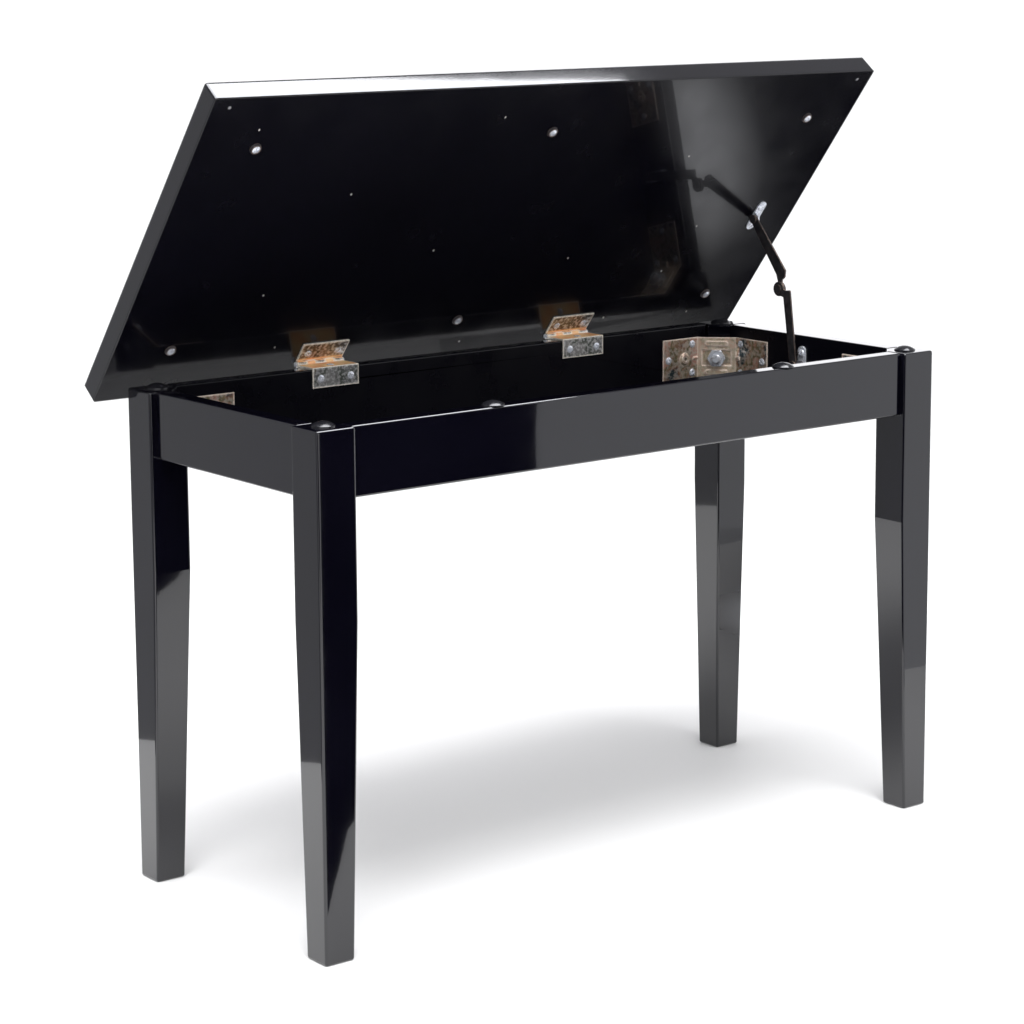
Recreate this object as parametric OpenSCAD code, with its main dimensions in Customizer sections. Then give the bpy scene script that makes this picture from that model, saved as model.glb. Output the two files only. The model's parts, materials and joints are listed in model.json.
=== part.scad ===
// Storage piano bench: four tapered square legs bolted to a box of four aprons,
// and a flat lid on two pin hinges, held open by a folding two-arm stay.
// X runs left to right, Y front to back, Z up. The lid is drawn open.

/* [Frame] */
// Width of the frame over the legs
frame_w = 742; // [600:1:900]
// Depth of the frame over the legs
frame_d = 314; // [280:1:380]
// Height of the leg and apron tops above the floor
frame_h = 471; // [420:1:520]
// Side of the square leg at the top
leg_w = 40; // [38:0.5:46]
// Side of the square leg at the floor
foot_w = 30.5; // [24:0.5:36]
// Height at which the inner leg faces start to taper
taper_start_z = 300; // [250:1:380]
// Height of the aprons
apron_h = 63; // [60:0.5:80]
// Thickness of the aprons
apron_t = 18; // [15:0.5:20]
// Setback of the front and side aprons behind the leg faces
apron_setback = 6; // [4:0.5:11]
// Setback of the rear apron behind the rear leg faces
rear_setback = 2; // [1:0.5:5]
// Thickness of the bottom panel
panel_t = 4; // [3:0.5:4]

/* [Lid] */
// Width of the lid
lid_w = 788; // [780:1:960]
// Depth of the lid
lid_d = 368; // [360:1:420]
// Thickness of the lid
lid_t = 20.5; // [18:0.5:25]
// Angle between the open lid and the closed lid
open_angle = 51.8; // [51:0.1:52]
// Gap between the frame top and the closed lid
lid_gap = 5; // [5:0.1:6]
// Distance from the hinge pin to the lid's rear edge
lid_rear = 23.5; // [22:0.5:26]

/* [Hinges] */
// Distance from the lid's middle to each hinge's middle
hinge_x = 155; // [120:1:200]
// Length of a hinge along its pin
hinge_len = 53.5; // [50:0.5:60]
// Thickness of the hinge leaves
leaf_t = 1.6; // [1.4:0.1:1.6]
// Outer radius of the hinge knuckles
knuckle_r = 3; // [2.8:0.1:3]
// Radius of the hinge pin
hinge_pin_r = 1.5; // [1.3:0.1:1.5]
// Distance from the rear leg faces back to the hinge pin
pin_back = 7; // [6:0.5:9]
// Length of the lid leaf, from the pin to its free edge
lid_leaf_len = 25; // [22:0.5:28]
// Height of the leaf flange on the rear apron's inner face
flange_h = 20; // [18:0.5:22]

/* [Stay] */
// Length of each stay arm between its pivots
arm_len = 81; // [81:0.1:81.5]
// Distance from the lid's rear edge to the stay's lid pivot
stay_lid_y = 173; // [172:0.5:174]
// Depth of the lid pivot under the lid
stay_lid_drop = 6; // [5.5:0.1:6]
// Height of the stay's frame pivot under the frame top
stay_frame_drop = 30; // [29.5:0.1:30.5]
// Position of the frame pivot behind the middle of the frame
stay_frame_y = 5.5; // [5:0.1:6]
// Thickness of the stay arms and brackets
stay_t = 1.6; // [1.4:0.1:1.6]

/* [Corner braces] */
// Distance of each bend of a brace from the corner of the box
brace_reach = 30; // [29:0.5:31]
// Length of a brace wing
brace_wing = 49; // [44:0.5:52]
// Height of a brace
brace_h = 44.5; // [44:0.5:46]
// Thickness of a brace
brace_t = 1.5; // [1.2:0.1:1.5]

/* [Bumpers] */
// Radius of a bumper disc
bumper_r = 10.5; // [8:0.5:12]
// Distance from the middle to each bumper on the front apron
front_bumper_x = 176; // [120:1:220]

/* [Hidden] */
$fn = 48;

black = [0.02, 0.02, 0.022];
grey = [0.4, 0.4, 0.41];
zinc = [0.78, 0.79, 0.8];
yellow_zinc = [0.66, 0.6, 0.4];
bronze = [0.25, 0.22, 0.2];

// Corners of the frame, counted anticlockwise from the rear right one
REAR_RIGHT = 0;
REAR_LEFT = 1;
FRONT_LEFT = 2;
FRONT_RIGHT = 3;
LEFT = -1;
RIGHT = 1;

eps = 0.5;                                     // overshoot of a cut
half_w = frame_w / 2;
half_d = frame_d / 2;
inner_x = half_w - apron_setback - apron_t;    // inner face of the side aprons
inner_front = -half_d + apron_setback + apron_t;
inner_rear = half_d - rear_setback - apron_t;
leg_in_x = half_w - leg_w;                     // inner faces of the legs
leg_in_y = half_d - leg_w;
apron_z = frame_h - apron_h;
hardware_shift = 3;                            // fittings sit a little right of the middle

// Lid and hinge
pin_y = half_d + pin_back;
lid_z = frame_h + lid_gap;                     // underside of the closed lid
pin_z = lid_z - knuckle_r;
lid_rear_y = pin_y + lid_rear;
knuckles = 5;
knuckle_gap = 0.3;
knuckle_pitch = hinge_len / knuckles;
hinge_bore_r = hinge_pin_r + 0.05;
leaf_screw_x = 17.5;
flange_screw_drop = 9.5;                       // flange screws below the frame top
top_screw_y = inner_rear + 8;

// The open lid reaches furthest back at its upper rear edge
open_rear_y = pin_y + lid_rear * cos(open_angle) + (knuckle_r + lid_t) * sin(open_angle);
origin_y = (open_rear_y - half_d) / 2;         // middle of the whole bench, lid open

// Bottom panel, let into a rabbet round the box
rabbet_w = 8;
panel_gap = 0.5;

// Fastener sizes: head radius, head height, shank radius, length
wood_screw = [4, 1.9, 1.7, 13];
hinge_screw = [3.9, 1.3, 1.6, 12];
panel_screw = [3, 1.6, 1.3, 11];
lid_screw = [3.9, 2.2, 1.9, 15];
cup_r = 5.7;
cup_h = 2.2;
screw_play = 0.2;                              // radial play in a metal plate's hole

// Hanger bolts
bolt_r = 5;
bolt_in_leg = 32;
nut_flats = 17;
nut_h = 8;
leg_flat = 13;                                 // leg's bolt flat, from the corner of the box
channel_h = 20;
channel_depth = 2;
brace_z = apron_z + brace_h / 2 + 6;           // middle height of the braces
brace_mid = brace_reach / sqrt(2);             // brace's middle panel, from the corner of the box
bolt_out = brace_mid + nut_h + 5;
bend_in = brace_t * (sqrt(2) - 1);
brace_hole_side = 8;                           // inner screws, from the bend
brace_hole_z = 15.5;
brace_hole_end = 7.5;                          // outer screw, from the wing's end

// Stay, in planes side by side along X
upper_arm_x = 335.2;
lower_arm_x = upper_arm_x - 0.4 - stay_t;
lid_tab_x = upper_arm_x + stay_t + 0.4;
frame_plate_x = inner_x - stay_t;
rivet_r = 2.2;
rivet_play = 0.05;
stay_head_r = 4.6;
stay_head_h = 1.4;
bracket_w = 11;
bracket_long = 38;
bracket_screw = 11.5;                          // bracket screws, from the pivot
ear_r = 7.5;
ear_side = 11.5;                               // elbow pivot, to the side of an arm's middle line
frame_pivot = [stay_frame_y, frame_h - stay_frame_drop];
lid_pivot_closed = [lid_rear_y - stay_lid_y, lid_z - stay_lid_drop];

// A point of the closed lid, in the Y-Z plane, after the lid has opened
function opened(p) = [
  pin_y + (p[0] - pin_y) * cos(open_angle) + (p[1] - pin_z) * sin(open_angle),
  pin_z - (p[0] - pin_y) * sin(open_angle) + (p[1] - pin_z) * cos(open_angle)
];

lid_pivot = opened(lid_pivot_closed);
stay_span = lid_pivot - frame_pivot;
span_len = norm(stay_span);
elbow_off = sqrt(arm_len * arm_len - span_len * span_len / 4);
// The elbow stands in front of the line between the outer pivots
elbow = (lid_pivot + frame_pivot) / 2 + elbow_off / span_len * [-stay_span[1], stay_span[0]];

lid_screw_x = 333;
lid_screw_edge = 60;
plug_x = 376;
plug_edge = 11;
plug_r = 1.5;
plug_in = 3;

/* ---- helpers ---- */

// Pan head screw along Z: its head rises from Z = 0 and its shank goes down
module screw(size) {
  head_r = size[0];
  head_h = size[1];
  dome = head_h * 0.7;
  dome_r = (dome * dome + head_r * head_r) / (2 * dome);
  slot_w = head_r * 0.26;
  difference() {
    intersection() {
      cylinder(r = head_r, h = head_h);
      translate([0, 0, head_h - dome_r]) sphere(r = dome_r, $fn = 64);
    }
    for (a = [0, 90]) rotate([0, 0, a + 30])
      translate([-head_r * 0.6, -slot_w / 2, head_h * 0.45]) cube([head_r * 1.2, slot_w, head_h]);
  }
  translate([0, 0, -size[3]]) cylinder(r = size[2], h = size[3] + head_h * 0.2);
}

// Hole for a screw's shank in wood, starting just above Z = 0
module screw_hole(size, play = 0) {
  translate([0, 0, -size[3]]) cylinder(r = size[2] + play, h = size[3] + eps);
}

// Hole for a screw's shank in a plate lying above and below Z = 0
module plate_hole(size) {
  translate([0, 0, -4]) cylinder(r = size[2] + screw_play, h = 8);
}

// Moves children from the frame's own centre to the bench's origin
module bench() {
  translate([0, -origin_y, 0]) children();
}

// Opens children that are drawn on the closed lid
module lid_open() {
  bench() translate([0, pin_y, pin_z]) rotate([-open_angle, 0, 0]) translate([0, -pin_y, -pin_z]) children();
}

function corner_x(i) = (i == REAR_RIGHT || i == FRONT_RIGHT ? 1 : -1) * inner_x;
function corner_y(i) = i == REAR_RIGHT || i == REAR_LEFT ? inner_rear : inner_front;

// Puts children at a corner of the box: its walls run along -X and -Y from there
module at_corner(i) {
  translate([corner_x(i), corner_y(i), brace_z]) rotate([0, 0, 90 * i]) children();
}

// The screws of one brace, heads towards the inside of the box
module at_brace_screws() {
  spots = [
    [brace_reach + brace_hole_side, brace_hole_z],
    [brace_reach + brace_hole_side, -brace_hole_z],
    [brace_reach + brace_wing - brace_hole_end, 0]
  ];
  for (p = spots) {
    translate([-p[0], -brace_t, p[1]]) rotate([90, 0, 0]) children();
    translate([-brace_t, -p[0], p[1]]) rotate([0, -90, 0]) children();
  }
}

module at_panel_screws() {
  mid = rabbet_w / 2;
  for (x = [-240, -80, 80, 240]) for (y = [inner_front - mid, inner_rear + mid])
    translate([x, y, apron_z]) rotate([180, 0, 0]) children();
  for (x = [-1, 1]) for (y = [-60, 60])
    translate([x * (inner_x + mid), y, apron_z]) rotate([180, 0, 0]) children();
}

function hinge_mid(side) = side * hinge_x + hardware_shift;

// Two flange screws and one top screw of a frame leaf
module at_frame_leaf_screws(side) {
  for (x = [-leaf_screw_x, leaf_screw_x])
    translate([hinge_mid(side) + x, inner_rear - leaf_t, frame_h - flange_screw_drop])
      rotate([90, 0, 0]) children();
  translate([hinge_mid(side), top_screw_y, frame_h + leaf_t]) children();
}

module at_lid_leaf_screws(side) {
  for (x = [-leaf_screw_x, leaf_screw_x])
    translate([hinge_mid(side) + x, pin_y - lid_leaf_len / 2, lid_z - leaf_t])
      rotate([180, 0, 0]) children();
}

module at_lid_screws() {
  for (x = [-lid_screw_x, 0, lid_screw_x]) for (y = [lid_screw_edge, lid_d - lid_screw_edge])
    translate([x + hardware_shift / 2, lid_rear_y - y, lid_z]) rotate([180, 0, 0]) children();
}

module at_plugs() {
  for (x = [-plug_x, plug_x])
    translate([x, lid_rear_y - lid_d + plug_edge, lid_z]) rotate([180, 0, 0]) children();
}

module at_frame_bracket_screws() {
  for (z = [-bracket_screw, bracket_screw])
    translate([frame_plate_x, frame_pivot[0], frame_pivot[1] + z]) rotate([0, -90, 0]) children();
}

module at_lid_bracket_screws() {
  for (y = [-bracket_screw, bracket_screw])
    translate([lid_tab_x + bracket_w / 2, lid_pivot_closed[0] + y, lid_z - stay_t])
      rotate([180, 0, 0]) children();
}

/* ---- legs and box ---- */

module leg_profile() {
  polygon([[0, 0], [foot_w, 0], [leg_w, taper_start_z], [leg_w, frame_h], [0, frame_h]]);
}

// A leg tapers on its two inner faces and has a flat for its bolt on the inner corner
module leg(i) {
  sx = corner_x(i) > 0 ? 1 : -1;
  sy = corner_y(i) > 0 ? 1 : -1;
  color(black) bench() difference() {
    translate([sx * half_w, sy * half_d, 0]) rotate([0, 0, 90 * (i + 2)]) intersection() {
      translate([0, leg_w, 0]) rotate([90, 0, 0]) linear_extrude(leg_w) leg_profile();
      rotate([90, 0, 90]) linear_extrude(leg_w) leg_profile();
    }
    at_corner(i) rotate([0, 0, -45]) {
      translate([-leg_w, -leg_flat - leg_w, apron_z + panel_t - brace_z])
        cube([2 * leg_w, leg_w, apron_h]);
      rotate([90, 0, 0]) translate([0, 0, leg_flat - bolt_in_leg])
        cylinder(r = bolt_r, h = bolt_in_leg + eps);
    }
  }
}

// An apron lying along X from its left end, its inner face towards +Y, rabbeted for the panel
module apron_blank(len) {
  difference() {
    cube([len, apron_t, apron_h]);
    translate([-eps, apron_t - rabbet_w, -eps]) cube([len + 2 * eps, rabbet_w + eps, panel_t + eps]);
  }
}

module box_screw_holes() {
  for (i = [0 : 3]) at_corner(i) at_brace_screws() screw_hole(wood_screw);
  at_panel_screws() screw_hole(panel_screw);
}

module apron_front() {
  color(black) bench() difference() {
    translate([-leg_in_x, inner_front - apron_t, apron_z]) apron_blank(2 * leg_in_x);
    box_screw_holes();
  }
}

module apron_rear() {
  color(black) bench() difference() {
    translate([leg_in_x, inner_rear + apron_t, apron_z]) rotate([0, 0, 180]) apron_blank(2 * leg_in_x);
    box_screw_holes();
    for (side = [LEFT, RIGHT]) at_frame_leaf_screws(side) screw_hole(hinge_screw);
  }
}

module apron_left() {
  color(black) bench() difference() {
    translate([-inner_x - apron_t, leg_in_y, apron_z]) rotate([0, 0, -90]) apron_blank(2 * leg_in_y);
    box_screw_holes();
  }
}

module apron_right() {
  color(black) bench() difference() {
    translate([inner_x + apron_t, -leg_in_y, apron_z]) rotate([0, 0, 90]) apron_blank(2 * leg_in_y);
    box_screw_holes();
    at_frame_bracket_screws() screw_hole(wood_screw);
  }
}

module bottom_panel() {
  reach = rabbet_w - panel_gap;
  color(black) bench() difference() {
    translate([-inner_x - reach, inner_front - reach, apron_z])
      cube([2 * (inner_x + reach), inner_rear - inner_front + 2 * reach, panel_t]);
    for (sx = [-1, 1]) for (sy = [-1, 1])
      translate([sx * half_w, sy * half_d, apron_z])
        cube([2 * (leg_w + panel_gap), 2 * (leg_w + panel_gap), 4 * panel_t], center = true);
    at_panel_screws() screw_hole(panel_screw, screw_play);
  }
}

module bottom_panel_screws() {
  color(zinc) bench() at_panel_screws() screw(panel_screw);
}

/* ---- corner braces ---- */

// A flat oblong with round ends, standing out of the XZ plane towards -Y
module rib(len, r, rise) {
  rotate([90, 0, 0]) {
    translate([-len / 2 + r, -r, 0]) cube([len - 2 * r, 2 * r, rise]);
    for (x = [-1, 1]) translate([x * (len / 2 - r), 0, 0]) cylinder(r = r, h = rise);
  }
}

// The brace's middle panel: a channel for the nut between two ribs
module brace_channel(grow = 0) {
  len = brace_reach * sqrt(2) - 8;
  translate([-len / 2 + grow, -brace_mid - brace_t - eps, -channel_h / 2 + grow])
    cube([len - 2 * grow, channel_depth + brace_t + eps - grow, channel_h - 2 * grow]);
}

module brace(i) {
  far = brace_reach + brace_wing;
  collar_at = brace_reach + 19;
  collar_r = 7;
  collar_top_r = 4.5;
  collar_rise = 2.4;
  lug_r = 1.7;
  lug_len = 6;
  rib_z = 15.5;
  color(yellow_zinc) bench() at_corner(i) difference() {
    union() {
      difference() {
        translate([0, 0, -brace_h / 2]) linear_extrude(brace_h) polygon([
          [-far, 0], [-brace_reach, 0], [0, -brace_reach], [0, -far],
          [-brace_t, -far], [-brace_t, -brace_reach - bend_in],
          [-brace_reach - bend_in, -brace_t], [-far, -brace_t]
        ]);
        rotate([0, 0, -45]) brace_channel(brace_t);
      }
      rotate([0, 0, -45]) {
        difference() {
          intersection() {
            brace_channel();
            translate([-leg_w, -brace_mid - 0.01, -channel_h]) cube([2 * leg_w, leg_w, 2 * channel_h]);
          }
          brace_channel(brace_t);
        }
        for (z = [-rib_z, rib_z])
          translate([0, -brace_mid - brace_t + 0.1, z]) rib(24.5, 2.4, 1.5);
      }
      translate([-collar_at, -brace_t + 0.1, 0]) rotate([90, 0, 0])
        cylinder(r1 = collar_r, r2 = collar_top_r, h = collar_rise);
      translate([-brace_reach - lug_len - 1, -brace_t, 0]) rotate([0, 90, 0])
        cylinder(r = lug_r, h = lug_len);
      translate([-brace_t, -brace_reach - 1, 0]) rotate([90, 0, 0])
        cylinder(r = lug_r, h = lug_len);
    }
    translate([-collar_at, eps, 0]) rotate([90, 0, 0]) cylinder(r = 2, h = 8);
    rotate([90, 0, -45]) cylinder(r = bolt_r + screw_play, h = 3 * brace_mid);
    at_brace_screws() plate_hole(wood_screw);
    translate([0, -far, -brace_h]) cube([lug_len, 2 * far, 2 * brace_h]);
    translate([-far, 0, -brace_h]) cube([2 * far, lug_len, 2 * brace_h]);
  }
}

module brace_screws() {
  color(zinc) bench() for (i = [0 : 3]) at_corner(i) at_brace_screws() screw(wood_screw);
}

module hanger_bolts() {
  tip = 1.2;
  color(zinc) bench() for (i = [0 : 3]) at_corner(i) rotate([90, 0, -45]) {
    translate([0, 0, leg_flat - bolt_in_leg])
      cylinder(r = bolt_r, h = bolt_in_leg + bolt_out - leg_flat - tip);
    translate([0, 0, bolt_out - tip]) cylinder(r1 = bolt_r, r2 = bolt_r - tip, h = tip);
  }
}

module hanger_nuts() {
  face = brace_mid - channel_depth + brace_t;
  corner_r = nut_flats / sqrt(3);
  color(zinc) bench() for (i = [0 : 3]) at_corner(i) rotate([90, 0, -45]) translate([0, 0, face])
    difference() {
      intersection() {
        cylinder(r = corner_r, h = nut_h, $fn = 6);
        cylinder(r1 = corner_r + nut_h - 0.8, r2 = corner_r - 0.8, h = nut_h);
      }
      translate([0, 0, -eps]) cylinder(r = bolt_r, h = nut_h + 2 * eps);
    }
}

/* ---- bumpers ---- */

// A low round bumper with a domed top
module bumper() {
  height = lid_gap - 0.3;
  dome = height - 1;
  dome_r = (dome * dome + bumper_r * bumper_r) / (2 * dome);
  intersection() {
    cylinder(r = bumper_r, h = height);
    translate([0, 0, height - dome_r]) sphere(r = dome_r, $fn = 64);
  }
}

module corner_bumpers() {
  color(black) bench() for (sx = [-1, 1]) for (sy = [-1, 1])
    translate([sx * (half_w - leg_w / 2), sy * (half_d - leg_w / 2), frame_h]) bumper();
}

module front_bumpers() {
  color(black) bench() for (x = [-front_bumper_x, front_bumper_x])
    translate([x + hardware_shift, inner_front - apron_t / 2, frame_h]) bumper();
}

/* ---- hinges ---- */

// Knuckles from first on, every second one, along X and round the pin
module knuckles(first, r, gap) {
  for (k = [first : 2 : knuckles - 1])
    translate([-hinge_len / 2 + k * knuckle_pitch + gap / 2, 0, 0]) rotate([0, 90, 0])
      cylinder(r = r, h = knuckle_pitch - gap);
}

module hinge_bore() {
  translate([-hinge_len, 0, 0]) rotate([0, 90, 0]) cylinder(r = hinge_bore_r, h = 2 * hinge_len);
}

module frame_leaf(side) {
  color(yellow_zinc) bench() difference() {
    translate([hinge_mid(side), 0, 0]) difference() {
      union() {
        difference() {
          translate([-hinge_len / 2, inner_rear - leaf_t, frame_h])
            cube([hinge_len, pin_y - inner_rear + leaf_t, leaf_t]);
          translate([0, pin_y, pin_z]) knuckles(1, knuckle_r + 0.4, -knuckle_gap);
        }
        translate([-hinge_len / 2, inner_rear - leaf_t, frame_h + leaf_t - flange_h])
          cube([hinge_len, leaf_t, flange_h]);
        translate([0, pin_y, pin_z]) knuckles(0, knuckle_r, knuckle_gap);
      }
      translate([0, pin_y, pin_z]) hinge_bore();
    }
    at_frame_leaf_screws(side) plate_hole(hinge_screw);
  }
}

module lid_leaf(side) {
  color(yellow_zinc) lid_open() difference() {
    translate([hinge_mid(side), 0, 0]) difference() {
      union() {
        difference() {
          translate([-hinge_len / 2, pin_y - lid_leaf_len, lid_z - leaf_t])
            cube([hinge_len, lid_leaf_len, leaf_t]);
          translate([0, pin_y, pin_z]) knuckles(0, knuckle_r + 0.4, -knuckle_gap);
        }
        translate([0, pin_y, pin_z]) knuckles(1, knuckle_r, knuckle_gap);
      }
      translate([0, pin_y, pin_z]) hinge_bore();
    }
    at_lid_leaf_screws(side) plate_hole(hinge_screw);
  }
}

module hinge_frame_leaf_left() {
  frame_leaf(LEFT);
}

module hinge_frame_leaf_right() {
  frame_leaf(RIGHT);
}

module hinge_lid_leaf_left() {
  lid_leaf(LEFT);
}

module hinge_lid_leaf_right() {
  lid_leaf(RIGHT);
}

// Each pin has a small head beyond either end of its hinge
module hinge_pins() {
  head_h = 0.8;
  len = hinge_len + 1;
  color(zinc) bench() for (side = [LEFT, RIGHT])
    translate([hinge_mid(side), pin_y, pin_z]) rotate([0, 90, 0]) {
      cylinder(r = hinge_pin_r, h = len, center = true);
      for (end = [-1, 1]) translate([0, 0, end * (len + head_h) / 2])
        cylinder(r = knuckle_r - 0.6, h = head_h, center = true);
    }
}

module hinge_frame_screws() {
  color(zinc) bench() for (side = [LEFT, RIGHT]) at_frame_leaf_screws(side) screw(hinge_screw);
}

module hinge_lid_screws() {
  color(zinc) lid_open() for (side = [LEFT, RIGHT]) at_lid_leaf_screws(side) screw(hinge_screw);
}

/* ---- lid ---- */

module lid_board() {
  corner_r = 2.5;
  color(black) lid_open() difference() {
    translate([0, lid_rear_y - lid_d / 2, lid_z]) {
      translate([0, 0, lid_t / 2]) cube([lid_w - 2 * corner_r, lid_d, lid_t], center = true);
      translate([0, 0, lid_t / 2]) cube([lid_w, lid_d - 2 * corner_r, lid_t], center = true);
      for (sx = [-1, 1]) for (sy = [-1, 1])
        translate([sx * (lid_w / 2 - corner_r), sy * (lid_d / 2 - corner_r), 0])
          cylinder(r = corner_r, h = lid_t);
    }
    at_lid_screws() screw_hole(lid_screw);
    at_plugs() translate([0, 0, -plug_in]) cylinder(r = plug_r, h = plug_in + eps);
    for (side = [LEFT, RIGHT]) at_lid_leaf_screws(side) screw_hole(hinge_screw);
    at_lid_bracket_screws() screw_hole(hinge_screw);
  }
}

// Small plugs near the lid's front corners
module lid_plugs() {
  color(grey) lid_open() at_plugs() translate([0, 0, -plug_in]) cylinder(r = plug_r, h = plug_in + 0.3);
}

module lid_screws() {
  color(zinc) lid_open() at_lid_screws() {
    translate([0, 0, cup_h - 0.8]) screw([lid_screw[0], lid_screw[1], lid_screw[2], 0.1]);
    translate([0, 0, -lid_screw[3]]) cylinder(r = lid_screw[2], h = lid_screw[3] + cup_h);
  }
}

// A raised finishing washer round each lid screw
module lid_cup_washers() {
  seat_r = lid_screw[0] + 0.1;
  color(bronze) lid_open() at_lid_screws() difference() {
    cylinder(r1 = cup_r, r2 = seat_r + 1, h = cup_h);
    translate([0, 0, cup_h - 0.8]) cylinder(r = seat_r, h = 1);
    translate([0, 0, -eps]) cylinder(r = lid_screw[2], h = cup_h + 1);
  }
}

/* ---- stay ---- */

// Turns children from the XY plane into the Y-Z plane, from plane x on
module stay_plane(x) {
  translate([x, 0, 0]) rotate([90, 0, 90]) children();
}

// Hole through a plate that lies from plane x on
module pivot_hole(x, at, r) {
  translate([x - eps, at[0], at[1]]) rotate([0, 90, 0]) cylinder(r = r, h = stay_t + 2 * eps);
}

// Strip with round ends along Y, centred on the origin
module bracket_strip() {
  r = bracket_w / 2;
  square([bracket_w, bracket_long - bracket_w], center = true);
  for (y = [-1, 1]) translate([0, y * (bracket_long / 2 - r)]) circle(r = r);
}

module stay_frame_bracket() {
  color(zinc) bench() difference() {
    stay_plane(frame_plate_x) translate(frame_pivot) linear_extrude(stay_t) bracket_strip();
    pivot_hole(frame_plate_x, frame_pivot, rivet_r);
    at_frame_bracket_screws() plate_hole(wood_screw);
  }
}

// Shouldered stud that holds the lower arm clear of the apron
module stay_frame_stud() {
  color(bronze) bench() translate([0, frame_pivot[0], frame_pivot[1]]) rotate([0, 90, 0]) {
    translate([0, 0, lower_arm_x - 0.2]) cylinder(r = rivet_r, h = inner_x - lower_arm_x + 0.2);
    translate([0, 0, lower_arm_x - 0.1 - stay_head_h]) cylinder(r = stay_head_r, h = stay_head_h);
    translate([0, 0, lower_arm_x + stay_t + 0.1])
      cylinder(r = rivet_r + 1.4, h = frame_plate_x - lower_arm_x - stay_t - 0.1);
  }
}

module stay_frame_screws() {
  color(zinc) bench() at_frame_bracket_screws() screw(wood_screw);
}

// Angle bracket: a foot under the lid and a round-ended tab for the pivot
module stay_lid_bracket() {
  tab_r = 5.4;
  color(zinc) lid_open() difference() {
    union() {
      translate([lid_tab_x + bracket_w / 2, lid_pivot_closed[0], lid_z - stay_t])
        linear_extrude(stay_t) bracket_strip();
      stay_plane(lid_tab_x) translate(lid_pivot_closed) {
        cylinder(r = tab_r, h = stay_t);
        translate([-tab_r, 0, 0]) cube([2 * tab_r, stay_lid_drop, stay_t]);
      }
    }
    pivot_hole(lid_tab_x, lid_pivot_closed, rivet_r);
    at_lid_bracket_screws() plate_hole(hinge_screw);
  }
}

module stay_lid_rivet() {
  color(bronze) lid_open() translate([0, lid_pivot_closed[0], lid_pivot_closed[1]]) rotate([0, 90, 0]) {
    translate([0, 0, upper_arm_x - 0.2]) cylinder(r = rivet_r, h = 2 * stay_t + 0.6);
    translate([0, 0, upper_arm_x - 0.1 - stay_head_h]) cylinder(r = stay_head_r, h = stay_head_h);
  }
}

module stay_lid_screws() {
  color(zinc) lid_open() at_lid_bracket_screws() screw(hinge_screw);
}

// An arm along +X from its plain end at the origin. The elbow's ear stands to the +Y side
// of the tapered body, which is body_len long, end_w wide and cut by a bevel.
module arm(body_len, end_w, bevel) {
  start_w = 9.4;
  ear_x = sqrt(arm_len * arm_len - ear_side * ear_side);
  neck = 6;
  cylinder(r = start_w / 2 + 0.01, h = stay_t);
  linear_extrude(stay_t) polygon([
    [0, -start_w / 2], [0, start_w / 2], [body_len, end_w / 2],
    [body_len, bevel - end_w / 2], [body_len - bevel, -end_w / 2]
  ]);
  linear_extrude(stay_t) polygon([
    [body_len - neck - bevel, end_w / 2 - 1], [body_len, end_w / 2 - 4],
    [ear_x + 3, ear_side], [ear_x - ear_r * cos(15), ear_side - ear_r * sin(15)]
  ]);
  translate([ear_x, ear_side, 0]) cylinder(r = ear_r, h = stay_t);
}

// Turn of an arm's middle line away from the line between its pivots
arm_skew = asin(ear_side / arm_len);

function heading(from, to) = atan2(to[1] - from[1], to[0] - from[0]);

module stay_lower_arm() {
  color(bronze) bench() difference() {
    stay_plane(lower_arm_x) translate(frame_pivot)
      rotate(heading(frame_pivot, elbow) + arm_skew) mirror([0, 1, 0]) arm(78, 11, 1);
    pivot_hole(lower_arm_x, frame_pivot, rivet_r + rivet_play);
    pivot_hole(lower_arm_x, elbow, rivet_r);
  }
}

module stay_elbow_rivet() {
  color(bronze) bench() translate([0, elbow[0], elbow[1]]) rotate([0, 90, 0]) {
    translate([0, 0, lower_arm_x - 0.2]) cylinder(r = rivet_r, h = stay_t + 0.3);
    translate([0, 0, lower_arm_x - stay_head_h]) cylinder(r = stay_head_r, h = stay_head_h);
  }
}

module stay_upper_arm() {
  color(bronze) bench() difference() {
    stay_plane(upper_arm_x) translate(lid_pivot)
      rotate(heading(lid_pivot, elbow) - arm_skew) arm(74.5, 14, 5);
    pivot_hole(upper_arm_x, lid_pivot, rivet_r + rivet_play);
    pivot_hole(upper_arm_x, elbow, rivet_r);
  }
}

leg(FRONT_LEFT);  // leg_front_left
leg(FRONT_RIGHT);  // leg_front_right
leg(REAR_LEFT);  // leg_rear_left
leg(REAR_RIGHT);  // leg_rear_right
apron_front();
apron_rear();
apron_left();
apron_right();
bottom_panel();
bottom_panel_screws();
brace(FRONT_LEFT);  // brace_front_left
brace(FRONT_RIGHT);  // brace_front_right
brace(REAR_LEFT);  // brace_rear_left
brace(REAR_RIGHT);  // brace_rear_right
brace_screws();
hanger_bolts();
hanger_nuts();
corner_bumpers();
front_bumpers();
hinge_frame_leaf_left();
hinge_frame_leaf_right();
hinge_frame_screws();
hinge_pins();
hinge_lid_leaf_left();
hinge_lid_leaf_right();
hinge_lid_screws();
lid_board();
lid_plugs();
lid_screws();
lid_cup_washers();
stay_frame_bracket();
stay_frame_stud();
stay_frame_screws();
stay_lid_bracket();
stay_lid_rivet();
stay_lid_screws();
stay_lower_arm();
stay_elbow_rivet();
stay_upper_arm();
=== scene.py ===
"""Looks of the storage piano bench.

Polished black lacquer and plated fittings on a pale floor, in soft studio light.
"""

import json
import math

import bpy
from mathutils import Matrix, Vector


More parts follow.
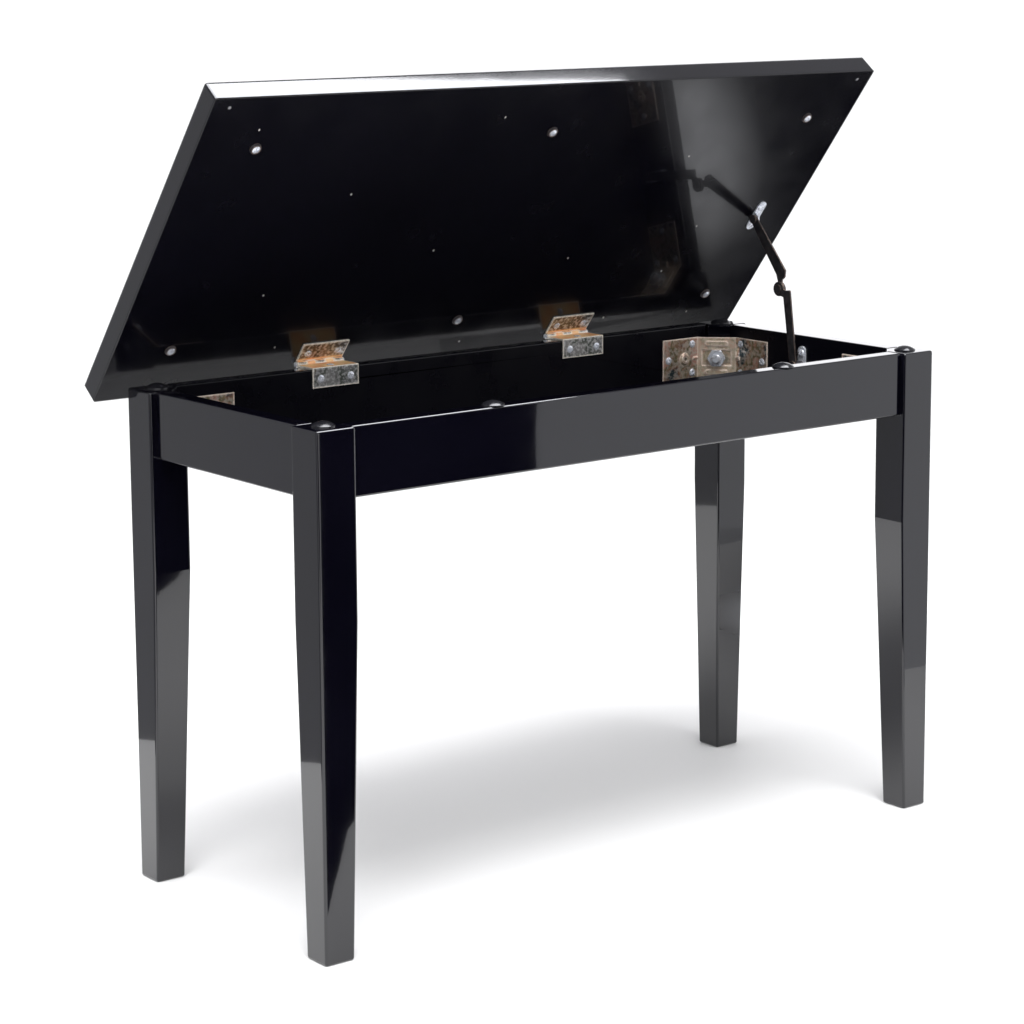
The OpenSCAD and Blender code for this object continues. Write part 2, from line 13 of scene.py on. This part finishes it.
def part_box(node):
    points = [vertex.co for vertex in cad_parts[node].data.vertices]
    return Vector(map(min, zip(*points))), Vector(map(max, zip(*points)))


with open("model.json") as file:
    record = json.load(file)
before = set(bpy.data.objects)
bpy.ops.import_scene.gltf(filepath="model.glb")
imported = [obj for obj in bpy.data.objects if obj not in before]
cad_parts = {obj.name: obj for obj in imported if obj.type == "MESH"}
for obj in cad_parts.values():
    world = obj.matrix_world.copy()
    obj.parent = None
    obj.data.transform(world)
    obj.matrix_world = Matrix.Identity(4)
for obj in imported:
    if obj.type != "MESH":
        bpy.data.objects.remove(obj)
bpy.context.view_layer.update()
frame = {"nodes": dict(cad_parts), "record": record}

# Rounding of the wooden pieces' edges by finish, in metres; the metals round theirs in the shader
LACQUER_ROUNDING = 0.0024
EDGE_RADIUS = {"black_lacquer": LACQUER_ROUNDING, "panel_black": 0.0004}

# The direction that each apron's inner face points in; that face is left dull
INNER_FACE = {
    "apron_front": (0.0, 1.0, 0.0),
    "apron_rear": (0.0, -1.0, 0.0),
    "apron_left": (1.0, 0.0, 0.0),
    "apron_right": (-1.0, 0.0, 0.0),
}

# The direction that the open lid's underside points in
LID_UNDERSIDE = (0.0, -0.786, -0.618)

# The lid leaves are copper up to this height over the hinge pins, in metres; that copper is partly a
# tint and partly a painted reflection
COPPER_SHEEN_ABOVE_PINS = 0.003

CAMERA_AT = (-1.63755, -2.07231, 0.8650)
CAMERA_YAW = 0.661
CAMERA_PITCH = 0.1641
CAMERA_ROLL = -0.0062
CAMERA_LENS = 96.83
CAMERA_SHIFT_Y = -0.0996

# The bright panel overhead; in reflection, its rear edge runs close along the lid's front edge
CEILING_HEIGHT = 2.2
CEILING_PANEL = [(-1.3, -1.0), (1.3, -1.0), (1.3, 0.196), (0.76, 0.218), (0.5, 0.24), (-1.3, 0.6)]

# Radiance of the surroundings near the horizon and overhead
HORIZON = 1.4
CEILING = 0.35

CARD_TOP = 1.2
SHADE_HEIGHT = 0.02

# Finish colours along a noise, as (place, colour) stops
CHROMATE = [
    (0.38, (0.06, 0.09, 0.10)),
    (0.44, (0.46, 0.26, 0.18)),
    (0.50, (0.62, 0.46, 0.30)),
    (0.55, (0.24, 0.22, 0.11)),
    (0.62, (0.88, 0.52, 0.40)),
]
NICKEL = [
    (0.38, (0.22, 0.17, 0.09)),
    (0.46, (0.30, 0.30, 0.30)),
    (0.54, (0.12, 0.14, 0.11)),
    (0.62, (0.42, 0.41, 0.40)),
]
TARNISHED = [
    (0.38, (0.10, 0.08, 0.05)),
    (0.48, (0.24, 0.17, 0.11)),
    (0.56, (0.09, 0.09, 0.08)),
    (0.64, (0.30, 0.24, 0.19)),
]
# Bright, barely metallic copper: partly the plating's colour, partly a painted reflection
COPPER_TINT_AND_SHEEN = [(0.35, (1.0, 0.48, 0.20)), (0.65, (1.0, 0.72, 0.36))]


# ---- shader helpers ----


def new_material(name, values=None):
    """A material whose Principled shader has these values on its own sockets."""
    mat = bpy.data.materials.new(name)
    mat.use_nodes = True
    for socket, value in (values or {}).items():
        shader_of(mat).inputs[socket].default_value = value
    return mat


def shader_of(mat):
    return mat.node_tree.nodes["Principled BSDF"]


def add(mat, kind, **inputs):
    """A new node, with its inputs set or linked by name."""
    node = mat.node_tree.nodes.new("ShaderNode" + kind)
    for name, value in inputs.items():
        socket = node.inputs[name.replace("_", " ")]
        if isinstance(value, bpy.types.NodeSocket):
            mat.node_tree.links.new(value, socket)
        else:
            socket.default_value = value
    return node


def wire(mat, output, *sockets):
    """Links an output to these sockets of the material's Principled shader."""
    for name in sockets:
        mat.node_tree.links.new(output, shader_of(mat).inputs[name])


def noise(mat, scale, detail=3.0, stretch=(1.0, 1.0, 1.0), shift=0.0):
    """Noise from 0 to 1 with about `scale` waves per metre, drawn out by stretch."""
    coords = add(mat, "TexCoord")
    place = {"Scale": stretch, "Location": (shift, shift, 0.0)}
    mapping = add(mat, "Mapping", Vector=coords.outputs["Object"], **place)
    tex = add(mat, "TexNoise", Vector=mapping.outputs["Vector"], Scale=scale, Detail=detail)
    return tex.outputs["Fac"]


def remap(mat, value, start, end, low, high):
    """value from start to end becomes low to high, and is held there beyond."""
    names = {"From_Min": start, "From_Max": end, "To_Min": low, "To_Max": high}
    return add(mat, "MapRange", Value=value, **names).outputs["Result"]


def ramp(mat, value, stops):
    """A smooth run through (place, colour) stops."""
    node = add(mat, "ValToRGB", Fac=value)
    elements = node.color_ramp.elements
    while len(elements) < len(stops):
        elements.new(1.0)
    for element, (place, colour) in zip(elements, stops):
        element.position = place
        element.color = (*colour, 1.0)
    return node.outputs["Color"]


def blend(mat, factor, first, second):
    """first where factor is 0, second where it is 1; each is a colour or an output."""
    node = mat.node_tree.nodes.new("ShaderNodeMix")
    node.data_type = "RGBA"
    mat.node_tree.links.new(factor, node.inputs["Factor"])
    for socket, value in ((node.inputs[6], first), (node.inputs[7], second)):
        if isinstance(value, bpy.types.NodeSocket):
            mat.node_tree.links.new(value, socket)
        else:
            socket.default_value = (*value, 1.0)
    return node.outputs[2]


def mixed(mat, factor, first, second):
    """The value first where factor is 0, and second where it is 1."""
    node = mat.node_tree.nodes.new("ShaderNodeMix")
    for socket, value in ((node.inputs[0], factor), (node.inputs[2], first), (node.inputs[3], second)):
        mat.node_tree.links.new(value, socket)
    return node.outputs[0]


def calculate(mat, operation, first, second=None):
    """The result of a Math node on one or two outputs."""
    node = add(mat, "Math", Value=first)
    node.operation = operation
    if second is not None:
        mat.node_tree.links.new(second, node.inputs[1])
    return node.outputs["Value"]


def vector_measure(mat, operation, first, second=None):
    """The single number that a vector operation gives; second is an output or a fixed vector."""
    node = mat.node_tree.nodes.new("ShaderNodeVectorMath")
    node.operation = operation
    mat.node_tree.links.new(first, node.inputs[0])
    if isinstance(second, bpy.types.NodeSocket):
        mat.node_tree.links.new(second, node.inputs[1])
    elif second is not None:
        node.inputs[1].default_value = second
    return node.outputs["Value"]


def bump(mat, height, depth, normal=None):
    """A normal that follows height, whose full range is depth metres."""
    node = add(mat, "Bump", Height=height, Strength=1.0, Distance=depth)
    if normal is not None:
        mat.node_tree.links.new(normal, node.inputs["Normal"])
    return node.outputs["Normal"]


def rounded_normal(mat, radius, samples):
    """The surface's normal with its edges rounded to a radius."""
    node = add(mat, "Bevel", Radius=radius)
    node.samples = samples
    return node.outputs["Normal"]


def edges(mat, radius, sharpness=0.25):
    """1 along the edges of the shape and 0 on its flats."""
    flat = add(mat, "NewGeometry").outputs["Normal"]
    agreement = vector_measure(mat, "DOT_PRODUCT", rounded_normal(mat, radius, 6), flat)
    return remap(mat, agreement, 1.0 - sharpness, 0.995, 1.0, 0.0)


def facing(mat, direction, start, end):
    """1 on surfaces whose normal points along direction, 0 on the others."""
    normal = add(mat, "TexCoord").outputs["Normal"]
    return remap(mat, vector_measure(mat, "DOT_PRODUCT", normal, direction), start, end, 0.0, 1.0)


# ---- materials ----


def lacquer(name, coat_roughness):
    """Black piano lacquer: nearly black, with a slight haze, orange peel and fine dust."""
    mat = new_material(name, {
        "IOR": 1.5, "Specular IOR Level": 0.25,
        "Coat Weight": 1.0, "Coat Roughness": coat_roughness, "Coat IOR": 1.5,
    })
    haze = [(0.3, (0.0011, 0.0010, 0.0028)), (0.7, (0.0024, 0.0022, 0.0050))]
    tone = ramp(mat, noise(mat, 6.0), haze)
    dust = remap(mat, noise(mat, 700.0, 2.0), 0.74, 0.80, 0.0, 0.35)
    tone = blend(mat, dust, tone, (0.045, 0.045, 0.05))
    wear = edges(mat, 0.002)
    return mat, blend(mat, remap(mat, wear, 0.0, 1.0, 0.0, 0.12), tone, (0.08, 0.08, 0.085))


def lacquer_relief(mat, wave_depth=0.00012, rounded=None):
    """Slow waves of the board and the orange peel of the sprayed lacquer."""
    waves = bump(mat, noise(mat, 16.0, 1.0), wave_depth, rounded)
    peel = bump(mat, noise(mat, 420.0, 1.5), 0.0000025, waves)
    wire(mat, peel, "Normal", "Coat Normal")


def polish(mat):
    """The faintly uneven roughness of polished lacquer."""
    return remap(mat, noise(mat, 38.0, 5.0), 0.3, 0.7, 0.05, 0.09)


def black_lacquer():
    """Lacquer polished to a mirror."""
    mat, tone = lacquer("black_lacquer", 0.025)
    wire(mat, tone, "Base Color")
    wire(mat, polish(mat), "Roughness")
    lacquer_relief(mat)
    return mat


def apron_lacquer(name, inner_face):
    """Lacquer polished to a mirror outside and left dull on the inner face."""
    mat, tone = lacquer(name + "_lacquer", 0.025)
    wire(mat, tone, "Base Color")
    inner = facing(mat, inner_face, 0.9, 0.95)
    dull = remap(mat, noise(mat, 38.0, 5.0), 0.3, 0.7, 0.24, 0.36)
    wire(mat, mixed(mat, inner, polish(mat), dull), "Roughness")
    wire(mat, remap(mat, inner, 0.0, 1.0, 1.0, 0.05), "Coat Weight")
    lacquer_relief(mat)
    return mat


def lid_lacquer():
    """The lid's lacquer: its underside is left less polished and has a few pale specks, painted glints
    off small holes.
    """
    mat, tone = lacquer("lid_lacquer", 0.03)
    under = facing(mat, LID_UNDERSIDE, 0.9, 0.95)
    coords = add(mat, "TexCoord")
    # Pale specks on the underside: painted glints where small holes catch the light
    glint_spots = mat.node_tree.nodes.new("ShaderNodeTexVoronoi")
    glint_spots.voronoi_dimensions = "2D"
    glint_spots.inputs["Scale"].default_value = 8.0
    mat.node_tree.links.new(coords.outputs["Object"], glint_spots.inputs["Vector"])
    painted_glint = remap(mat, glint_spots.outputs["Distance"], 0.004, 0.008, 1.0, 0.0)
    painted_glints_below = calculate(mat, "MULTIPLY", painted_glint, under)
    wire(mat, blend(mat, painted_glints_below, tone, (0.55, 0.53, 0.50)), "Base Color")
    satin = remap(mat, noise(mat, 24.0, 5.0), 0.3, 0.7, 0.17, 0.28)
    wire(mat, remap(mat, under, 0.0, 1.0, 1.0, 0.3), "Coat Weight")
    wire(mat, mixed(mat, under, polish(mat), satin), "Roughness")
    lacquer_relief(mat, 0.00002, rounded_normal(mat, LACQUER_ROUNDING, 8))
    return mat


def panel_black():
    """Thin plywood with a satin black stain that lets some fibre show."""
    mat = new_material("panel_black", {"IOR": 1.45, "Specular IOR Level": 0.2})
    fibre = noise(mat, 160.0, 6.0, (1.0, 5.0, 1.0))
    stain = [(0.3, (0.0012, 0.0011, 0.0026)), (0.75, (0.0042, 0.0038, 0.0058))]
    wire(mat, ramp(mat, fibre, stain), "Base Color")
    wire(mat, remap(mat, fibre, 0.3, 0.7, 0.42, 0.6), "Roughness")
    wire(mat, bump(mat, fibre, 0.00012), "Normal")
    return mat


def black_bumper():
    """Moulded soft plastic with a slightly pebbled skin."""
    mat = new_material("black_bumper", {"IOR": 1.5, "Specular IOR Level": 0.6})
    grain = noise(mat, 1500.0, 3.0)
    skin = [(0.3, (0.006, 0.006, 0.008)), (0.8, (0.014, 0.014, 0.017))]
    wire(mat, ramp(mat, grain, skin), "Base Color")
    wire(mat, remap(mat, noise(mat, 260.0), 0.3, 0.7, 0.12, 0.24), "Roughness")
    wire(mat, bump(mat, grain, 0.00002), "Normal")
    return mat


def metal_finish(mat, colour, rough_low, rough_high, rounding=0.0008):
    """The roughness, surface relief and rounded edges that all the plated metals share."""
    wire(mat, colour, "Base Color")
    cloud = noise(mat, 160.0, 4.0, shift=3.0)
    wire(mat, remap(mat, cloud, 0.3, 0.7, rough_low, rough_high), "Roughness")
    rounded = rounded_normal(mat, rounding, 8)
    wire(mat, bump(mat, noise(mat, 900.0, 3.0), 0.00001, rounded), "Normal")


def middle_plate(mat):
    """1 on a brace's middle plate, which faces diagonally, and 0 on its wings."""
    normal = add(mat, "SeparateXYZ", Vector=add(mat, "TexCoord").outputs["Normal"])
    product = calculate(mat, "MULTIPLY", normal.outputs["X"], normal.outputs["Y"])
    return remap(mat, calculate(mat, "ABSOLUTE", product), 0.4, 0.45, 0.0, 1.0)


def yellow_zinc():
    """Yellow chromate over zinc: tinted brown; paler on the middle plate, a tint that is partly
    painted reflection; edges worn and painted bright.
    """
    mat = new_material("yellow_zinc")
    film = ramp(mat, noise(mat, 46.0, 4.0), CHROMATE)
    grain = remap(mat, noise(mat, 280.0, 5.0, shift=7.0), 0.44, 0.60, 0.0, 0.7)
    speckled = blend(mat, grain, film, (0.92, 0.84, 0.74))
    # The middle plate is paler yellow and less metallic: partly a plating tint, partly a painted
    # reflection of the light it faces
    straw_and_sheen = middle_plate(mat)
    speckled = blend(mat, remap(mat, straw_and_sheen, 0.0, 1.0, 0.0, 0.45), speckled, (1.0, 0.84, 0.60))
    # Pale, less metallic edges: partly worn plating, partly a painted highlight
    worn_rim_and_highlight = edges(mat, 0.003, 0.1)
    worn_rim_and_sheen = calculate(mat, "ADD", worn_rim_and_highlight, remap(mat, straw_and_sheen, 0.0, 1.0, 0.0, 0.4))
    wire(mat, remap(mat, worn_rim_and_sheen, 0.0, 1.0, 0.8, 0.25), "Metallic")
    metal_finish(mat, blend(mat, worn_rim_and_highlight, speckled, (1.0, 0.84, 0.72)), 0.28, 0.44)
    return mat


def nickel_steel(name="nickel_steel", stops=NICKEL, copper_sheen_top=None):
    """Hinge plating: speckled nickel; copper where the leaf lies flat or low, a tint with painted
    reflection in it.
    """
    mat = new_material(name)
    film = ramp(mat, noise(mat, 30.0, 3.0, shift=1.7), stops)
    grain = remap(mat, noise(mat, 320.0, 5.0), 0.46, 0.60, 0.0, 0.7)
    speckled = blend(mat, grain, film, (0.90, 0.89, 0.88))
    # Copper on upward faces and on the lid leaves' lower band: partly a copper tint, partly a painted
    # reflection of the light above
    copper = ramp(mat, noise(mat, 90.0, 3.0), COPPER_TINT_AND_SHEEN)
    if copper_sheen_top is None:
        copper_sheen_mask = facing(mat, (0.0, 0.0, 1.0), 0.6, 0.9)
    else:
        place = add(mat, "SeparateXYZ", Vector=add(mat, "TexCoord").outputs["Object"])
        copper_sheen_mask = remap(mat, place.outputs["Z"], copper_sheen_top - 0.001, copper_sheen_top + 0.001, 1.0, 0.0)
    # Pale, less metallic edges: partly worn plating, partly a painted highlight
    worn_rim_and_highlight = edges(mat, 0.003, 0.1)
    wire(mat, remap(mat, calculate(mat, "ADD", copper_sheen_mask, worn_rim_and_highlight), 0.0, 1.0, 0.8, 0.1), "Metallic")
    plating = blend(mat, copper_sheen_mask, speckled, copper)
    metal_finish(mat, blend(mat, worn_rim_and_highlight, plating, (1.0, 0.93, 0.82)), 0.28, 0.44)
    return mat


def zinc_steel():
    """Bright zinc on screws, bolts and brackets, with a cool tint and faint clouding."""
    mat = new_material("zinc_steel", {"Metallic": 0.5})
    clouding = [(0.3, (0.70, 0.74, 0.82)), (0.7, (0.90, 0.92, 0.98))]
    cloud = ramp(mat, noise(mat, 220.0, 4.0), clouding)
    plating = blend(mat, edges(mat, 0.0004), cloud, (0.96, 0.97, 1.0))
    metal_finish(mat, plating, 0.20, 0.34, 0.0004)
    return mat


def bronze_steel():
    """Dark antique bronze, rubbed through to brass and copper along its edges."""
    mat = new_material("bronze_steel", {"Metallic": 0.7})
    clouding = [(0.3, (0.045, 0.043, 0.05)), (0.7, (0.10, 0.095, 0.10))]
    cloud = ramp(mat, noise(mat, 120.0, 5.0), clouding)
    plating = blend(mat, edges(mat, 0.0005), cloud, (0.66, 0.44, 0.30))
    metal_finish(mat, plating, 0.30, 0.46, 0.0005)
    return mat


def grey_plastic():
    """Small grey plug of moulded plastic."""
    mat = new_material("grey_plastic", {"IOR": 1.46})
    grain = noise(mat, 1200.0, 3.0)
    skin = [(0.3, (0.16, 0.16, 0.17)), (0.7, (0.28, 0.28, 0.29))]
    wire(mat, ramp(mat, grain, skin), "Base Color")
    wire(mat, remap(mat, grain, 0.3, 0.7, 0.3, 0.45), "Roughness")
    wire(mat, bump(mat, grain, 0.00001), "Normal")
    return mat


MATERIALS = {
    "black_lacquer": black_lacquer,
    "panel_black": panel_black,
    "black_bumper": black_bumper,
    "yellow_zinc": yellow_zinc,
    "nickel_steel": nickel_steel,
    "zinc_steel": zinc_steel,
    "bronze_steel": bronze_steel,
    "grey_plastic": grey_plastic,
}


def soften_edges(obj, radius):
    """Rounds the sharp edges of a CAD node without touching its mesh."""
    weld = obj.modifiers.new("weld", "WELD")
    weld.merge_threshold = 0.00001
    planar = obj.modifiers.new("planar", "DECIMATE")
    planar.decimate_type = "DISSOLVE"
    planar.angle_limit = math.radians(1)
    bevel = obj.modifiers.new("bevel", "BEVEL")
    bevel.width = radius
    bevel.segments = 3
    bevel.limit_method = "ANGLE"
    bevel.angle_limit = math.radians(40)
    bevel.use_clamp_overlap = False
    bevel.harden_normals = True


def finish_nodes():
    """Gives every CAD node its material, and the wooden ones but the lid their rounded edges."""
    made = {slot: make() for slot, make in MATERIALS.items()}
    own = {node: apron_lacquer(node, direction) for node, direction in INNER_FACE.items()}
    own["lid_board"] = lid_lacquer()
    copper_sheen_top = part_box("hinge_pins")[1].z + COPPER_SHEEN_ABOVE_PINS
    for node in ("hinge_lid_leaf_left", "hinge_lid_leaf_right"):
        own[node] = nickel_steel(node, TARNISHED, copper_sheen_top)
    for part in frame["record"]["subparts"]:
        obj = frame["nodes"][part["node"]]
        slot = part["material_slot"]
        for material_slot in obj.material_slots:
            material_slot.material = own.get(part["node"], made[slot])
        if slot in EDGE_RADIUS and part["node"] != "lid_board":
            soften_edges(obj, EDGE_RADIUS[slot])


# ---- studio ----


def make_floor():
    """A wide pale floor with a faint mottle."""
    bpy.ops.mesh.primitive_plane_add(size=800.0, location=(0.0, 0.0, 0.0))
    floor = bpy.context.object
    floor.name = "floor"
    mat = new_material("pale_floor", {"Specular IOR Level": 0.2})
    cloud = noise(mat, 1.2, 4.0)
    mottle = [(0.3, (0.80, 0.80, 0.80)), (0.7, (0.84, 0.84, 0.84))]
    wire(mat, ramp(mat, cloud, mottle), "Base Color")
    wire(mat, remap(mat, cloud, 0.3, 0.7, 0.55, 0.7), "Roughness")
    floor.data.materials.append(mat)


def make_world():
    """A white horizon under a dim ceiling; the stops run along the height of the view direction."""
    world = bpy.data.worlds.new("studio")
    bpy.context.scene.world = world
    world.use_nodes = True
    tree = world.node_tree
    background = tree.nodes["Background"]
    coords = tree.nodes.new("ShaderNodeTexCoord")
    split = tree.nodes.new("ShaderNodeSeparateXYZ")
    tree.links.new(coords.outputs["Generated"], split.inputs["Vector"])
    shade = tree.nodes.new("ShaderNodeValToRGB")
    tree.links.new(split.outputs["Z"], shade.inputs["Fac"])
    stops = ((0.0, HORIZON), (0.30, HORIZON), (0.50, CEILING))
    while len(shade.color_ramp.elements) < len(stops):
        shade.color_ramp.elements.new(1.0)
    for element, (place, level) in zip(shade.color_ramp.elements, stops):
        element.position = place
        element.color = (level, level, level * 1.03, 1.0)
    tree.links.new(shade.outputs["Color"], background.inputs["Color"])


def aimed(at, towards):
    """A matrix at a point, with its -Z axis towards another point."""
    direction = Vector(towards) - Vector(at)
    return Matrix.Translation(at) @ direction.to_track_quat("-Z", "Y").to_matrix().to_4x4()


def place_light(data, at, towards):
    """Puts a light in the scene; it lights surfaces but shows neither to the camera nor in gloss."""
    light = bpy.data.objects.new(data.name, data)
    bpy.context.scene.collection.objects.link(light)
    light.matrix_world = aimed(at, towards)
    light.visible_camera = False
    light.visible_glossy = False


def softbox(name, at, towards, size, radiance):
    """A rectangular area light."""
    data = bpy.data.lights.new(name, "AREA")
    data.shape = "RECTANGLE"
    data.size, data.size_y = size
    data.energy = radiance * math.pi * size[0] * size[1]
    data.color = (0.99, 0.99, 1.0)
    place_light(data, at, towards)


def sun(name, at, towards, strength, spread):
    """A distant light with a spread in degrees."""
    data = bpy.data.lights.new(name, "SUN")
    data.energy = strength
    data.angle = math.radians(spread)
    place_light(data, at, towards)


def glow(name, radiance):
    """A material that only gives off light."""
    return new_material(name, {
        "Base Color": (0.0, 0.0, 0.0, 1.0),
        "Specular IOR Level": 0.0,
        "Emission Color": (0.95, 0.96, 1.0, 1.0),
        "Emission Strength": radiance,
    })


def stage_card(mesh):
    """An object of the set that shows in reflections and nowhere else."""
    obj = bpy.data.objects.new(mesh.name, mesh)
    bpy.context.scene.collection.objects.link(obj)
    obj.visible_camera = False
    obj.visible_diffuse = False
    obj.visible_shadow = False
    return obj


def card(name, line, radiance):
    """An upright card on the floor along a line of points."""
    mesh = bpy.data.meshes.new(name)
    count = len(line)
    corners = [(*point, 0.0) for point in line] + [(*point, CARD_TOP) for point in line]
    faces = [(i, i + 1, count + i + 1, count + i) for i in range(count - 1)]
    mesh.from_pydata(corners, [], faces)
    mesh.materials.append(glow(name, radiance))
    stage_card(mesh)


def panel(name, outline, height, radiance):
    """A bright level panel, seen only in reflections."""
    mesh = bpy.data.meshes.new(name)
    mesh.from_pydata([(x, y, height) for x, y in outline], [], [range(len(outline))])
    mesh.materials.append(glow(name, radiance))
    stage_card(mesh)


def shade(name, at, radius, radiance=0.0):
    """A soft-edged disc just above the floor, dark or glowing, seen only in reflections."""
    mesh = bpy.data.meshes.new(name)
    corners = [(x * radius, y * radius, 0.0) for x, y in ((-1, -1), (1, -1), (1, 1), (-1, 1))]
    mesh.from_pydata(corners, [], [(0, 1, 2, 3)])
    mat = glow(name, radiance)
    distance = vector_measure(mat, "LENGTH", add(mat, "TexCoord").outputs["Object"])
    wire(mat, remap(mat, distance, radius * 0.45, radius, 1.0, 0.0), "Alpha")
    mesh.materials.append(mat)
    stage_card(mesh).location = at


def make_lights():
    """One large softbox overhead, a broad invisible fill, and cards for the lacquer to reflect."""
    softbox("overhead", (-0.25, -0.1, CEILING_HEIGHT), (-0.25, -0.1, 0.0), (2.0, 1.5), 5.0)
    panel("ceiling_panel", CEILING_PANEL, CEILING_HEIGHT, 11.0)
    sun("fill", (-1.0, -2.0, 4.0), (0.0, 0.0, 0.0), 2.9, 40)
    card("card_left", [(-1.1, -0.4), (-0.7, 0.35), (-0.4, 0.95), (0.2, 2.0)], 0.40)
    card("card_right", [(0.225, -0.62), (0.8, -0.56), (1.6, -0.45)], 1.0)
    card("flag_front", [(-0.3, -0.28), (-0.14, -0.48), (0.92, -1.47)], 0.0)
    # A dark disc on the floor right of the bench: a painted shadow of the bench, seen only in
    # reflections
    shade("painted_bench_shadow", (1.15, 0.1, SHADE_HEIGHT), 0.75)
    shade("floor_glow", (0.74, -0.11, SHADE_HEIGHT + 0.01), 0.16, 2.4)
    shade("flag_camera", (-1.6, -1.9, SHADE_HEIGHT), 1.1)


def make_camera():
    """The camera at the bench's front left, a little above it."""
    data = bpy.data.cameras.new("camera")
    data.sensor_width = 36.0
    data.lens = CAMERA_LENS
    data.shift_y = CAMERA_SHIFT_Y
    data.clip_end = 1000.0
    camera = bpy.data.objects.new("camera", data)
    bpy.context.scene.collection.objects.link(camera)
    heading = Matrix.Rotation(-CAMERA_YAW, 4, "Z")
    tilt = Matrix.Rotation(math.pi / 2 - CAMERA_PITCH, 4, "X")
    roll = Matrix.Rotation(CAMERA_ROLL, 4, "Z")
    camera.matrix_world = Matrix.Translation(CAMERA_AT) @ heading @ tilt @ roll
    bpy.context.scene.camera = camera


finish_nodes()
make_floor()
make_world()
make_lights()
make_camera()
bpy.context.scene.view_settings.view_transform = "Standard"
